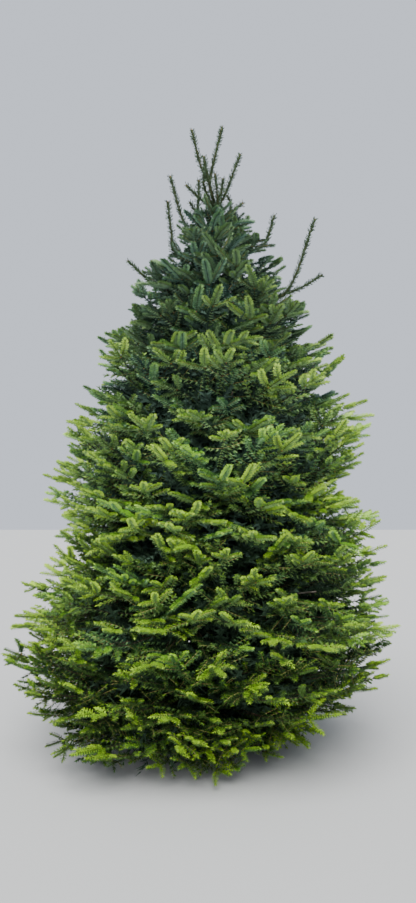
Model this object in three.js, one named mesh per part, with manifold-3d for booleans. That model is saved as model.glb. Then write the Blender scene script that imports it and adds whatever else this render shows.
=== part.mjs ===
// A field-grown fir of about 4 m: a trunk that forks into two leaders at the top, tiers of
// boughs round it, and a mass of needle sprays at the end of each bough.
// Millimetres, +Z up. The origin is the centre of the trunk's flat cut at ground level,
// +X is the tree's right and -Y its front.

import * as THREE from "three";
import { mergeVertices } from "three/addons/utils/BufferGeometryUtils.js";
import Module from "manifold-3d";

const wasm = await Module();
wasm.setup();

const { clamp, lerp, smoothstep } = THREE.MathUtils;

// Driving sizes of the trunk
const FORK_HEIGHT = 3630; // where the trunk parts into its two leaders
const TRUNK_RADIUS = 58; // above the root flare
const TRUNK_TIP_RADIUS = 8; // at the fork
const FLARE = 34; // what the root flare adds to the radius at ground level
const FLARE_HEIGHT = 95;
const FLARE_LOBES = 5;
const FLARE_LOBE_DEPTH = 0.35;
const TAPER_CURVE = 0.95; // 1 would be a straight taper
const LEAN_CURVE = 1.3;
const LEAN = 88; // how far right the trunk stands at BEND_HEIGHT
const BEND_HEIGHT = 3390; // above this it bends back towards the fork
const BEND = -49;
const SWAY = 9; // the trunk's slight wave
const SWAY_HEIGHT = 1500;

// Driving sizes of the crown
const CROWN_RADIUS = 1215;
const WIDEST_HEIGHT = 550; // where the crown is widest
const CROWN_TOP = 3540; // where the crown's outline closes on the trunk
const CROWN_SHOULDER = 1.55; // how full the outline stays above its widest part
const CROWN_POINT = 0.75; // how bluntly it closes at the top
const SKIRT_TUCK = 0.25; // how much narrower the crown is at the ground
const LEFT_SKIRT = 0.15; // how much fuller its left side is at the ground
const RIGHT_SWELL = 0.06; // how much fuller its right side is at mid height
const LOBES = [
  { count: 3, depth: 0.035, turn: 1, twist: 1 / 700 },
  { count: 5, depth: 0.025, turn: 0, twist: -1 / 400 },
];
// Where the outline stands out or draws in: by how much, at what height and how far up and
// down from it, and towards which side
const SWELLS = [
  { depth: -0.17, height: 1260, spread: 250, azimuth: Math.PI },
  { depth: 0.05, height: 1800, spread: 160, azimuth: Math.PI },
  { depth: -0.2, height: 80, spread: 300, azimuth: 0 },
  { depth: -0.19, height: 1610, spread: 170, azimuth: 0 },
  { depth: 0.11, height: 2220, spread: 300, azimuth: 0 },
];
const GROUND_RISE = -0.1; // how steeply a bough rises outwards, if it springs at ground level
const RISE_BY_HEIGHT = 1 / 3000; // what each millimetre of height adds to that
const GROUND_CLEARANCE = 14;
const CORE_LIFT = 25; // how much higher than that the dense inside of a mass stays
const CLEARANCE = 0.3; // between pieces that meet
const CELL_MARGIN = 5; // between a spray and the edge of its mass's own space

// Each tier springs from the trunk between two heights. Its masses stand side by side round
// the trunk, and each holds rows by columns of sprays. Upper tiers have no bare bough.
const TIERS = [
  { from: 90, to: 600, count: 6, rows: 3, columns: 3, turn: 0.5, bare: 0.34 },
  { from: 600, to: 1080, count: 6, rows: 3, columns: 3, turn: 0.25, bare: 0.34 },
  { from: 1080, to: 1560, count: 6, rows: 3, columns: 3, turn: 0.6, bare: 0.32 },
  { from: 1560, to: 2010, count: 5, rows: 3, columns: 3, turn: 0.9, bare: 0 },
  { from: 2010, to: 2430, count: 5, rows: 3, columns: 2, turn: 0.4, bare: 0 },
  { from: 2430, to: 2850, count: 4, rows: 3, columns: 2, turn: 0.0, bare: 0 },
  { from: 2850, to: 3340, count: 3, rows: 3, columns: 2, turn: 0.17, bare: 0 },
];
const LOWEST_BOUGH_RADIUS = 16;
const HIGHEST_BOUGH_RADIUS = 6;
const BOUGH_TAPER = 0.62; // a bough's radius where it enters its mass, as a share of its root's
const STEM_END = 0.7; // how far out the stem in a mass runs
const STEM_TAPER = 0.4; // its radius there, as a share of its root's
const CORE_START = 0.14; // how far out the dense inside of a mass begins on the trunk
const CORE_GAP = 0.03; // and how much further out than its bough's tip
const CORE_END = 0.8; // how far out the dense inside of a mass fills
const CORE_MARGIN = 13; // between it and the edge of its mass's own space
const SPRAY_THICKNESS = 24;

// Long shoots that stand out of the crown, by their mass, base and tip
const LONE_SHOOTS = [
  { tier: 6, number: 1, base: [543, -30, 2861], tip: [737, -40, 3353] },
  { tier: 6, number: 1, base: [610, 60, 2880], tip: [798, 90, 2990] },
  { tier: 6, number: 3, base: [-299, 20, 2903], tip: [-502, 40, 3095] },
  { tier: 7, number: 1, base: [391, 40, 3194], tip: [479, 60, 3397] },
  { tier: 7, number: 2, base: [-125, 30, 3350], tip: [-223, 40, 3677] },
];

// The shoots at the top, from the trunk to their tips. Two leaders stand on the fork and the
// others spring from the trunk below it.
const TOP_SHOOTS = [
  { name: "leader_left", path: [[32, 0, 3626], [14, -2, 3668], [-20, -4, 3745], [-76, -6, 3978]] },
  { name: "leader_right", path: [[46, 1, 3626], [47, 2, 3655], [64, 4, 3740], [126, 8, 4006]] },
  { name: "shoot_right", path: [[86, 0, 3440], [125, -6, 3490], [180, -14, 3620], [244, -20, 3799]] },
  { name: "shoot_left", path: [[82, 0, 3425], [20, 4, 3475], [-40, 8, 3530], [-111, 10, 3602]] },
  { name: "shoot_front", path: [[76, 0, 3470], [60, -45, 3520], [30, -80, 3620], [5, -90, 3748]] },
  { name: "shoot_back", path: [[80, 0, 3450], [92, 50, 3500], [120, 95, 3590], [135, 120, 3700]] },
];

// Colours from the photograph
const BARK = { color: 0x6e6257, roughness: 0.9, metalness: 0 };
const BOUGH_BARK = { color: 0x7a6a55, roughness: 0.9, metalness: 0 };
const NEEDLES = { roughness: 0.6, metalness: 0 };
const NEEDLE_LOW = new THREE.Color(0x6f8f35);
const NEEDLE_HIGH = new THREE.Color(0x40623f);

// Seeded chance, from -0.5 to 0.5, for a piece's own numbers
function chance(...keys) {
  const sum = keys.reduce((total, key, i) => total + (key + 1.37) * (12.9898 + 21.7113 * i), 4.1);
  const wave = Math.sin(sum) * 43758.5453;
  return wave - Math.floor(wave) - 0.5;
}

// The trunk's centre line and radius at a height
function trunkCentre(z) {
  const up = clamp(z / BEND_HEIGHT, 0, 1);
  const sway = SWAY * Math.sin((Math.PI * 2 * z) / SWAY_HEIGHT) * (1 - up);
  const lean = LEAN * Math.pow(up, LEAN_CURVE) + BEND * smoothstep(z, BEND_HEIGHT, FORK_HEIGHT);
  return new THREE.Vector3(lean + sway, sway * 0.7, z);
}

function trunkRadius(z, azimuth) {
  const taper = Math.pow(clamp(1 - z / FORK_HEIGHT, 0, 1), TAPER_CURVE);
  const lobe = 1 + FLARE_LOBE_DEPTH * Math.cos(FLARE_LOBES * azimuth + 0.6);
  return lerp(TRUNK_TIP_RADIUS, TRUNK_RADIUS, taper) + FLARE * Math.exp(-z / FLARE_HEIGHT) * lobe;
}

// The crown's outline: its reach from the trunk at a height and azimuth. It is fuller on the
// left near the ground and on the right at mid height.
function crownReach(z, azimuth) {
  const up = clamp((z - WIDEST_HEIGHT) / (CROWN_TOP - WIDEST_HEIGHT), 0, 1);
  const down = clamp((WIDEST_HEIGHT - z) / WIDEST_HEIGHT, 0, 1);
  const ogive = Math.pow(1 - Math.pow(up, CROWN_SHOULDER), CROWN_POINT);
  const tuck = 1 - SKIRT_TUCK * Math.pow(down, 1.5);
  const side = RIGHT_SWELL * Math.sin(Math.PI * clamp(up * 1.5, 0, 1)) - LEFT_SKIRT * smoothstep(down, 0, 1);
  let uneven = 1 + side * Math.cos(azimuth);
  for (const { count, depth, turn, twist } of LOBES) {
    uneven += depth * Math.cos(count * azimuth + turn + z * twist);
  }
  for (const swell of SWELLS) {
    const near = Math.exp(-Math.pow((z - swell.height) / swell.spread, 2));
    uneven += (swell.depth * near * (1 + Math.cos(azimuth - swell.azimuth))) / 2;
  }
  return CROWN_RADIUS * ogive * tuck * uneven;
}

// How steeply a bough that springs from the trunk at this level rises outwards
function rise(level) {
  return GROUND_RISE + RISE_BY_HEIGHT * level;
}

// The reach of the crown along a bough from this level, where the bough meets the outline
function reachAt(level, azimuth) {
  let low = 0;
  let high = CROWN_RADIUS * 1.4;
  while (high - low > 0.01) {
    const middle = (low + high) / 2;
    if (middle < crownReach(level + rise(level) * middle, azimuth)) low = middle;
    else high = middle;
  }
  return low;
}

// A place in a mass's space: across from -1 to 1 in azimuth, height from -1 to 1 between the
// tier's two levels, and out from 0 at the trunk to 1 at the crown's outline
function cellPlace(cell, across, height, out) {
  const azimuth = cell.azimuth + across * cell.halfAngle;
  const level = lerp(cell.from, cell.to, (height + 1) / 2);
  const radius = out * reachAt(level, azimuth);
  const z = level + rise(level) * radius;
  const centre = trunkCentre(z);
  return new THREE.Vector3(centre.x + radius * Math.cos(azimuth), centre.y + radius * Math.sin(azimuth), z);
}

// Whether a point lies in a mass's space, clear of the neighbours and the ground
function insideCell(cell, point) {
  const centre = trunkCentre(point.z);
  const x = point.x - centre.x;
  const y = point.y - centre.y;
  const radius = Math.hypot(x, y);
  const level = (point.z - GROUND_RISE * radius) / (1 + RISE_BY_HEIGHT * radius);
  const turn = Math.atan2(y, x) - cell.azimuth;
  const offset = Math.abs(Math.atan2(Math.sin(turn), Math.cos(turn)));
  const aside = (cell.halfAngle - offset) * radius;
  const between = level > cell.from + CELL_MARGIN && level < cell.to - CELL_MARGIN;
  return between && aside > CELL_MARGIN && point.z > GROUND_CLEARANCE;
}

// A solid from a closed geometry, for joining and cutting
function solidOf(geometry) {
  const bare = geometry.clone();
  bare.deleteAttribute("normal");
  bare.deleteAttribute("uv");
  const merged = mergeVertices(bare, 1e-3);
  const vertProperties = merged.attributes.position.array;
  const triVerts = new Uint32Array(merged.index.array);
  return new wasm.Manifold(new wasm.Mesh({ numProp: 3, vertProperties, triVerts }));
}

// A geometry from a solid: its largest body, without loose scrap
function geometryOf(solid) {
  const largest = solid.decompose().reduce((best, body) => (body.volume() > best.volume() ? body : best));
  const made = largest.getMesh();
  return new THREE.BufferGeometry()
    .setAttribute("position", new THREE.BufferAttribute(made.vertProperties, 3))
    .setIndex(new THREE.BufferAttribute(made.triVerts, 1));
}

// A smooth curve through places given as lists of three numbers
function smoothPath(places) {
  return new THREE.CatmullRomCurve3(places.map((place) => new THREE.Vector3(...place)));
}

// The level side direction and the upper direction across a curve
function frameAlong(curve, along) {
  const forward = curve.getTangentAt(along);
  const side = new THREE.Vector3(0, 0, 1).cross(forward);
  if (side.lengthSq() < 1e-3) side.set(0, 1, 0).cross(forward);
  side.normalize();
  return { forward, side, up: forward.clone().cross(side) };
}

// A tapering limb: a cylinder bent along a curve from one share of its length to another,
// its radius going from the first to the last. Its ends are flat.
function limb(curve, from, to, firstRadius, lastRadius, sides, segments) {
  const geometry = new THREE.CylinderGeometry(1, 1, 1, sides, segments);
  const position = geometry.attributes.position;
  const point = new THREE.Vector3();
  for (let i = 0; i < position.count; i++) {
    point.fromBufferAttribute(position, i);
    const share = clamp(point.y + 0.5, 0, 1);
    const along = lerp(from, to, share);
    const radius = lerp(firstRadius, lastRadius, share);
    const { side, up } = frameAlong(curve, along);
    const place = curve.getPointAt(along);
    place.addScaledVector(side, point.z * radius).addScaledVector(up, point.x * radius);
    position.setXYZ(i, place.x, place.y, place.z);
  }
  return solidOf(geometry);
}

// The trunk: it stands on a flat cut, flares at the root and tapers to the fork. Its rings
// crowd towards the flare and the fork.
const TRUNK_SIDES = 12;
const TRUNK_SEGMENTS = 16;
const RING_CROWDING = 0.13;

function trunkSolid(extra) {
  const geometry = new THREE.CylinderGeometry(1, 1, 1, TRUNK_SIDES, TRUNK_SEGMENTS);
  geometry.rotateX(Math.PI / 2);
  const position = geometry.attributes.position;
  for (let i = 0; i < position.count; i++) {
    const share = clamp(position.getZ(i) + 0.5, 0, 1);
    const crowded = share - RING_CROWDING * Math.sin(2 * Math.PI * share);
    const z = FORK_HEIGHT * crowded + extra * share;
    const azimuth = Math.atan2(position.getY(i), position.getX(i));
    const radius = Math.hypot(position.getX(i), position.getY(i)) * (trunkRadius(z, azimuth) + extra);
    const centre = trunkCentre(z);
    position.setXYZ(i, centre.x + radius * Math.cos(azimuth), centre.y + radius * Math.sin(azimuth), z);
  }
  return solidOf(geometry);
}

const FLAT_SIDE_ALLOWANCE = 1.3; // the trunk's flat sides stand closer than its edges
const clearOfTrunk = trunkSolid(CLEARANCE * FLAT_SIDE_ALLOWANCE);

// The middle line of a mass's space, which its bough and its stem both follow
function cellLine(cell) {
  const points = [0, 0.25, 0.5, 0.75, 1].map((share) => cellPlace(cell, 0, 0, share * STEM_END));
  return new THREE.CatmullRomCurve3(points);
}

// A bough: one bare limb from the trunk to where it enters its mass
const BOUGH_SIDES = 5;
const BOUGH_SEGMENTS = 3;

function boughSolid(cell) {
  const end = cell.bare / STEM_END;
  const tip = cell.boughRadius * BOUGH_TAPER;
  const bough = limb(cellLine(cell), 0, end, cell.boughRadius, tip, BOUGH_SIDES, BOUGH_SEGMENTS);
  return bough.subtract(clearOfTrunk);
}

// The stem of a mass goes on from the bough's tip, or springs from the trunk
function stemSolid(cell) {
  const line = cellLine(cell);
  const root = cell.bare > 0 ? cell.boughRadius * BOUGH_TAPER : cell.boughRadius;
  const start = cell.bare > 0 ? cell.bare / STEM_END + CLEARANCE / line.getLength() : 0;
  return limb(line, start, 1, root, root * STEM_TAPER, BOUGH_SIDES, BOUGH_SEGMENTS);
}

// The dense inside of a mass: a block shaped to its space, with its edges and corners drawn in
const CORE_ROUNDING = 0.05;

function coreSolid(cell) {
  const geometry = new THREE.BoxGeometry(2, 2, 2, 2, 1, 2);
  const position = geometry.attributes.position;
  const start = Math.max(cell.bare + CORE_GAP, CORE_START);
  for (let i = 0; i < position.count; i++) {
    const corner = [position.getX(i), position.getY(i), position.getZ(i)];
    const drawnIn = 1 - CORE_ROUNDING * (corner.filter((value) => value !== 0).length - 1);
    const [across, height, out] = corner.map((value) => value * drawnIn);
    const share = lerp(start, CORE_END, (out + 1) / 2);
    const halfWidth = cell.halfAngle * share * reachAt((cell.from + cell.to) / 2, cell.azimuth);
    const wide = across * (1 - CORE_MARGIN / halfWidth);
    const high = height * (1 - (2 * CORE_MARGIN) / (cell.to - cell.from));
    const place = cellPlace(cell, wide, high, share);
    position.setXYZ(i, place.x, place.y, Math.max(place.z, GROUND_CLEARANCE + CORE_LIFT));
  }
  return solidOf(geometry);
}

// A spray: a twig that opens into a flat fan of shoots, whose outline is toothed. Each point
// is a share of the way along the twig, and of the spray's width aside.
const SPRAY_SIDE = [
  [0.55, 0.1],
  [0.74, 1],
  [0.77, 0.3],
  [0.91, 0.72],
  [0.91, 0.2],
];
const SPRAY_WIDTHS = [0.5, 0.42, 0.34, 0.26]; // the widest that fits is taken, as a share of its length
const SPRAY_ROLL = 1.3;
const SPRAY_RIDGE = 0.72;
const SPRAY_CURL = 0.3; // how far its side shoots turn up, as a share of their reach

function spraySolid(line, side, width) {
  const place = (along, aside, lift) => {
    const forward = line.getTangent(along);
    const up = forward.clone().cross(side).normalize();
    const across = up.clone().cross(forward);
    const reach = aside * width;
    const height = lift + Math.abs(reach) * SPRAY_CURL;
    return line.getPoint(along).addScaledVector(across, reach).addScaledVector(up, height);
  };
  const left = SPRAY_SIDE.map(([along, aside]) => place(along, aside, 0));
  const right = SPRAY_SIDE.map(([along, aside]) => place(along, -aside, 0));
  const ring = [place(0, 0, 0), ...right, place(1, 0, 0), ...left.reverse()];
  const ridges = [place(SPRAY_RIDGE, 0, SPRAY_THICKNESS / 2), place(SPRAY_RIDGE, 0, -SPRAY_THICKNESS / 2)];
  const count = ring.length;
  const faces = ring.flatMap((_, i) => [i, (i + 1) % count, count, (i + 1) % count, i, count + 1]);
  const geometry = new THREE.BufferGeometry().setFromPoints([...ring, ...ridges]).setIndex(faces);
  return { solid: solidOf(geometry), ring };
}

// The way of a twig: it sags a little as it bends out from the stem to its own place on the
// crown's outline, and turns up at the end
const TWIG_DIP = 0.3; // the sag, as a share of half the tier
const TWIG_SPREAD = 0.88; // how far aside the outer twigs reach in their space
const TWIG_OPENING = 0.7; // how soon a twig parts from the stem
const TWIG_END = 0.98; // how far out its tip is
const ROW_STAGGER = 0.15; // of a column
const PLACE_JITTER = 0.25; // of a row or column
const END_JITTER = 0.08;

function twigLine(cell, row, column) {
  const jitter = (key) => chance(cell.tier, cell.number, row, column, key);
  const stagger = row % 2 === 0 ? ROW_STAGGER : -ROW_STAGGER;
  const across = ((column + 0.5 + PLACE_JITTER * jitter(1) + stagger) / cell.columns) * 2 - 1;
  const height = ((row + 0.5 + PLACE_JITTER * jitter(2)) / cell.rows) * 2 - 1;
  const end = TWIG_END + END_JITTER * jitter(3);
  const start = lerp(STEM_END * 0.8, STEM_END * 0.6, Math.abs(across));
  const points = [0, 0.3, 0.6, 0.85, 1].map((share) => {
    const opened = Math.pow(share, TWIG_OPENING);
    const dip = TWIG_DIP * Math.sin(Math.PI * share);
    return cellPlace(cell, across * TWIG_SPREAD * opened, height * opened - dip, lerp(start, end, share));
  });
  return new THREE.CatmullRomCurve3(points);
}

// A shoot that stands alone: a slim limb that needles stand out of all round
const NEEDLE_LENGTH = 26;
const NEEDLE_RADIUS = 1.6;
const NEEDLE_LEAN = 0.45; // towards the shoot's tip
const NEEDLE_TURN = 2.4; // from each needle to the next, round the shoot
const LAST_NEEDLE = 0.97; // how far along it stands
const SHOOT_TIP_RADIUS = 3;

function shootSolid(line, radius, needles, firstNeedle) {
  const pieces = [limb(line, 0, 1, radius, SHOOT_TIP_RADIUS, 3, 4)];
  for (let n = 0; n < needles; n++) {
    const along = lerp(firstNeedle, LAST_NEEDLE, n / (needles - 1));
    const round = n * NEEDLE_TURN;
    const { forward, side, up } = frameAlong(line, along);
    const out = side.clone().multiplyScalar(Math.cos(round)).addScaledVector(up, Math.sin(round));
    out.addScaledVector(forward, NEEDLE_LEAN).normalize();
    const geometry = new THREE.ConeGeometry(NEEDLE_RADIUS, NEEDLE_LENGTH, 3);
    geometry.translate(0, NEEDLE_LENGTH / 2, 0);
    geometry.applyQuaternion(new THREE.Quaternion().setFromUnitVectors(new THREE.Vector3(0, 1, 0), out));
    const root = line.getPointAt(along);
    geometry.translate(root.x, root.y, root.z);
    pieces.push(solidOf(geometry));
  }
  return wasm.Manifold.union(pieces);
}

const LONE_SHOOT = { radius: 8, needles: 7, firstNeedle: 0.5 };
const TOP_SHOOT = { radius: 5, needles: 10, firstNeedle: 0.2 };

// A mass: its core and stem, its sprays, and the long shoots that belong to it
function massSolid(cell) {
  const pieces = [coreSolid(cell), stemSolid(cell)];
  for (let row = 0; row < cell.rows; row++) {
    for (let column = 0; column < cell.columns; column++) {
      const line = twigLine(cell, row, column);
      const roll = SPRAY_ROLL * chance(cell.tier, cell.number, row, column, 4);
      const side = frameAlong(line, 1).side.applyAxisAngle(line.getTangent(1), roll);
      const sprays = SPRAY_WIDTHS.map((width) => spraySolid(line, side, width * line.getLength()));
      const fitting = sprays.find(({ ring }) => ring.every((point) => insideCell(cell, point)));
      if (fitting) pieces.push(fitting.solid);
    }
  }
  const root = cellPlace(cell, 0, 0, STEM_END * 0.8);
  const own = LONE_SHOOTS.filter((shoot) => shoot.tier === cell.tier && shoot.number === cell.number);
  for (const { base, tip } of own) {
    const line = smoothPath([root.toArray(), base, tip]);
    pieces.push(shootSolid(line, LONE_SHOOT.radius, LONE_SHOOT.needles, LONE_SHOOT.firstNeedle));
  }
  return wasm.Manifold.union(pieces).subtract(clearOfTrunk);
}

const tree = new THREE.Group();

function add(name, solid, material) {
  const mesh = new THREE.Mesh(geometryOf(solid), new THREE.MeshStandardMaterial(material));
  mesh.name = name;
  tree.add(mesh);
}

add("trunk", trunkSolid(0), BARK);

TIERS.forEach((tier, t) => {
  for (let number = 1; number <= tier.count; number++) {
    const cell = {
      ...tier,
      tier: t + 1,
      number,
      azimuth: ((number - 1 + tier.turn) / tier.count) * Math.PI * 2,
      halfAngle: Math.PI / tier.count,
      boughRadius: lerp(LOWEST_BOUGH_RADIUS, HIGHEST_BOUGH_RADIUS, t / (TIERS.length - 1)),
    };
    if (tier.bare > 0) add(`bough_${t + 1}_${number}`, boughSolid(cell), BOUGH_BARK);
    const color = NEEDLE_LOW.clone().lerp(NEEDLE_HIGH, t / (TIERS.length - 1));
    add(`foliage_${t + 1}_${number}`, massSolid(cell), { ...NEEDLES, color });
  }
});

for (const { name, path } of TOP_SHOOTS) {
  const shoot = shootSolid(smoothPath(path), TOP_SHOOT.radius, TOP_SHOOT.needles, TOP_SHOOT.firstNeedle);
  add(name, shoot.subtract(clearOfTrunk), { ...NEEDLES, color: NEEDLE_HIGH });
}

export default tree;
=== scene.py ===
# A field-grown fir of about 4 m, dense to the ground, with a forked top and no decorations.
# Metres, +Z up, -Y towards the camera. The origin is the trunk's flat cut at ground level.

import bpy
import numpy as np
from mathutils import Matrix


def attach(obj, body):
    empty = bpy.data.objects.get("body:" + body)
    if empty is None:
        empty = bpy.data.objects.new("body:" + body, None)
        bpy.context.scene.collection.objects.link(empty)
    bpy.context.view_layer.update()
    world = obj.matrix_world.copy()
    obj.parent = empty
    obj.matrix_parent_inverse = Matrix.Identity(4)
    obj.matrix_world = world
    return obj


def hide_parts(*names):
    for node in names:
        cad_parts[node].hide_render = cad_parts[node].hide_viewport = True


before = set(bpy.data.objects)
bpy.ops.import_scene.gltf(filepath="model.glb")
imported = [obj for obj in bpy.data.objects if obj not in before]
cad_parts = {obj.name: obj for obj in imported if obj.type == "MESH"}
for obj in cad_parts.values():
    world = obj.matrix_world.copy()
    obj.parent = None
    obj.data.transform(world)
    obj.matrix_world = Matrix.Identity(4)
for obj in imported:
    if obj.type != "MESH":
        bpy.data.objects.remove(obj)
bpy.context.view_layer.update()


# The camera stands before the tree at eye height, and looks up a little. The lens takes in the
# whole tree from close by.

CAMERA_PLACE = (0.032, -4.4, 1.5)
CAMERA_PITCH = np.radians(4.09)
LENS = 27.03  # millimetres, on a 36 mm frame along the picture's long side

camera = bpy.data.objects.new("camera", bpy.data.cameras.new("camera"))
camera.data.lens = LENS
camera.location = CAMERA_PLACE
camera.rotation_euler = (np.pi / 2 + CAMERA_PITCH, 0, 0)
bpy.context.collection.objects.link(camera)
bpy.context.scene.camera = camera


# The trunk: one grey-brown stem of smooth young bark, with cross ridges, resin blisters and
# small cracks. It flares at the ground, leans a little right and bends back to the fork.

FORK_HEIGHT = 3.63
TRUNK_RADIUS = 0.058
TRUNK_TIP_RADIUS = 0.008
TAPER_CURVE = 0.95
FLARE = 0.034
FLARE_HEIGHT = 0.095
FLARE_LOBES = 5
FLARE_LOBE_DEPTH = 0.35
LEAN = 0.088
LEAN_CURVE = 1.3
BEND_HEIGHT = 3.39
BEND = -0.049
SWAY = 0.009
SWAY_HEIGHT = 1.5
BARK_DARK = (0.075, 0.06, 0.045)
BARK_MIDDLE = (0.19, 0.16, 0.125)
BARK_PALE = (0.36, 0.33, 0.28)
BARK_GRAIN = 22
TRUNK_PLACES = 220
TRUNK_SIDES = 36
TRUNK_CROWDING = 1.25  # above 1, the places crowd towards the flare


def smooth(x):
    """An S curve that rises from 0 at x = 0 to 1 at x = 1: 3x^2 - 2x^3."""
    x = np.clip(x, 0, 1)
    return x * x * (3 - 2 * x)


def trunk_centre(z):
    """The trunk's middle at height z: a power curve of lean, a sine of sway, and an S bend at the fork."""
    up = np.clip(z / BEND_HEIGHT, 0, 1)
    sway = SWAY * np.sin(2 * np.pi * z / SWAY_HEIGHT) * (1 - up)
    bend = BEND * smooth((z - BEND_HEIGHT) / (FORK_HEIGHT - BEND_HEIGHT))
    return np.stack([LEAN * up ** LEAN_CURVE + bend + sway, sway * 0.7, z], -1)


def trunk_radius(z, azimuth):
    """A taper by a power of height, plus a lobed flare that dies away exponentially above the ground."""
    taper = np.clip(1 - z / FORK_HEIGHT, 0, 1) ** TAPER_CURVE
    lobe = 1 + FLARE_LOBE_DEPTH * np.cos(FLARE_LOBES * azimuth + 0.6)
    stem = TRUNK_TIP_RADIUS + (TRUNK_RADIUS - TRUNK_TIP_RADIUS) * taper
    return stem + FLARE * np.exp(-z / FLARE_HEIGHT) * lobe


def bark_relief(along, azimuth):
    """The bark's height at a place, in metres: sines with whole waves round, fine waves along that are cubed
    into cross ridges, and blisters where two crossing sines peak together."""
    swell = np.sin(3 * azimuth + 9 * along) + 0.7 * np.sin(5 * azimuth - 17 * along + 2)
    ridges = np.sin(120 * along + 2 * np.sin(4 * azimuth) + np.sin(31 * along)) ** 3
    blisters = np.clip(np.sin(9 * azimuth + 40 * along) * np.sin(7 * azimuth - 53 * along + 1), 0.6, 1) - 0.6
    return 0.0011 * swell + 0.0007 * ridges + 0.005 * blisters


def new_piece(name, points, faces, materials, shades=None, rounded=True):
    """A mesh object at the origin, from its points and its faces, which all have three or all four corners.
    The shades are each face's place in the list of materials."""
    mesh = bpy.data.meshes.new(name)
    mesh.vertices.add(len(points))
    mesh.vertices.foreach_set("co", np.asarray(points, dtype=np.float32).ravel())
    corners = faces.shape[1]
    mesh.loops.add(faces.size)
    mesh.loops.foreach_set("vertex_index", faces.astype(np.int32).ravel())
    mesh.polygons.add(len(faces))
    mesh.polygons.foreach_set("loop_start", np.arange(0, faces.size, corners, dtype=np.int32))
    mesh.polygons.foreach_set("use_smooth", np.full(len(faces), rounded))
    for material in materials:
        mesh.materials.append(material)
    if shades is not None:
        mesh.polygons.foreach_set("material_index", shades.astype(np.int32))
    mesh.update(calc_edges=True)
    piece = bpy.data.objects.new(name, mesh)
    bpy.context.collection.objects.link(piece)
    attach(piece, "root")
    return piece


def limb_skin(rings):
    """Points and triangles of closed limbs. The rings are, for each limb and each place along it, the
    corners of its outline. Both ends close on a point in the middle of their outline."""
    limbs, places, sides, _ = rings.shape
    ends = rings[:, [0, -1]].mean(2)
    points = np.concatenate([rings.reshape(limbs, -1, 3), ends], 1)
    place, side = np.meshgrid(np.arange(places - 1), np.arange(sides), indexing="ij")
    here = (place * sides + side).ravel()
    beside = (place * sides + (side + 1) % sides).ravel()
    walls = np.concatenate([
        np.stack([here, beside, beside + sides], 1),
        np.stack([here, beside + sides, here + sides], 1),
    ])
    turn = np.arange(sides)
    root, tip = places * sides, places * sides + 1
    last = (places - 1) * sides
    root_cap = np.stack([(turn + 1) % sides, turn, np.full(sides, root)], 1)
    tip_cap = np.stack([last + turn, last + (turn + 1) % sides, np.full(sides, tip)], 1)
    one = np.concatenate([walls, root_cap, tip_cap])
    faces = one[None] + (np.arange(limbs) * points.shape[1])[:, None, None]
    return points.reshape(-1, 3), faces.reshape(-1, 3)


class Wire:
    """An output of a material's nodes. Sums and products of wires and numbers add Math nodes."""

    def __init__(self, tree, socket):
        self.tree = tree
        self.socket = socket

    def node(self, kind, settings, sockets, output=0):
        """Adds a node: its settings first, then a value or a wire for each named socket."""
        made = self.tree.nodes.new(kind)
        for name, value in settings.items():
            if name == "stops":
                ramp = made.color_ramp.elements
                while len(ramp) < len(value):
                    ramp.new(0.5)
                for element, (position, colour) in zip(ramp, value):
                    element.position = position
                    element.color = (*colour, 1)
            else:
                setattr(made, name, value)
        for name, value in sockets.items():
            if isinstance(value, Wire):
                self.tree.links.new(value.socket, made.inputs[name])
            else:
                made.inputs[name].default_value = value
        return Wire(self.tree, made.outputs[output])

    def maths(self, operation, first, second):
        """One sum, difference or product of two wires or numbers."""
        return self.node("ShaderNodeMath", {"operation": operation}, {0: first, 1: second})

    def __add__(self, other):
        return self.maths("ADD", self, other)

    def __radd__(self, other):
        return self.maths("ADD", other, self)

    def __sub__(self, other):
        return self.maths("SUBTRACT", self, other)

    def __rsub__(self, other):
        return self.maths("SUBTRACT", other, self)

    def __mul__(self, other):
        return self.maths("MULTIPLY", self, other)

    def __rmul__(self, other):
        return self.maths("MULTIPLY", other, self)


def new_material(name, colour, roughness, specular=0.5):
    """A plain material, and its shader, to which a pattern may be linked."""
    material = bpy.data.materials.new(name)
    material.use_nodes = True
    shader = material.node_tree.nodes["Principled BSDF"]
    shader.inputs["Base Color"].default_value = (*colour, 1)
    shader.inputs["Roughness"].default_value = roughness
    shader.inputs["Specular IOR Level"].default_value = specular
    return material, shader


def bark_material(name, dark, middle, pale, grain):
    """Bark: a mottle of three browns from a coarse noise and a squat fine one, which also makes the cracks,
    rougher where it is darker. The grain is the coarse noise's waves to the metre."""
    material, shader = new_material(name, middle, 0.85, 0.3)
    tree = material.node_tree
    start = Wire(tree, None)
    place = start.node("ShaderNodeTexCoord", {}, {}, "Object")
    squat = start.node("ShaderNodeMapping", {}, {"Vector": place, "Scale": (1, 1, 2.6)})
    mottle = start.node("ShaderNodeTexNoise", {}, {"Vector": place, "Scale": grain, "Detail": 6.0})
    cracks = start.node("ShaderNodeTexNoise", {}, {"Vector": squat, "Scale": grain * 6, "Detail": 4.0})
    tone = mottle * 0.7 + cracks * 0.3
    stops = [(0.34, dark), (0.5, middle), (0.66, pale)]
    colour = start.node("ShaderNodeValToRGB", {"stops": stops}, {"Fac": tone})
    tree.links.new(colour.socket, shader.inputs["Base Color"])
    rough = 0.98 - 0.25 * tone
    tree.links.new(rough.socket, shader.inputs["Roughness"])
    bump = start.node("ShaderNodeBump", {}, {"Height": cracks, "Strength": 0.5, "Distance": 0.002})
    tree.links.new(bump.socket, shader.inputs["Normal"])
    return material


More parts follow.
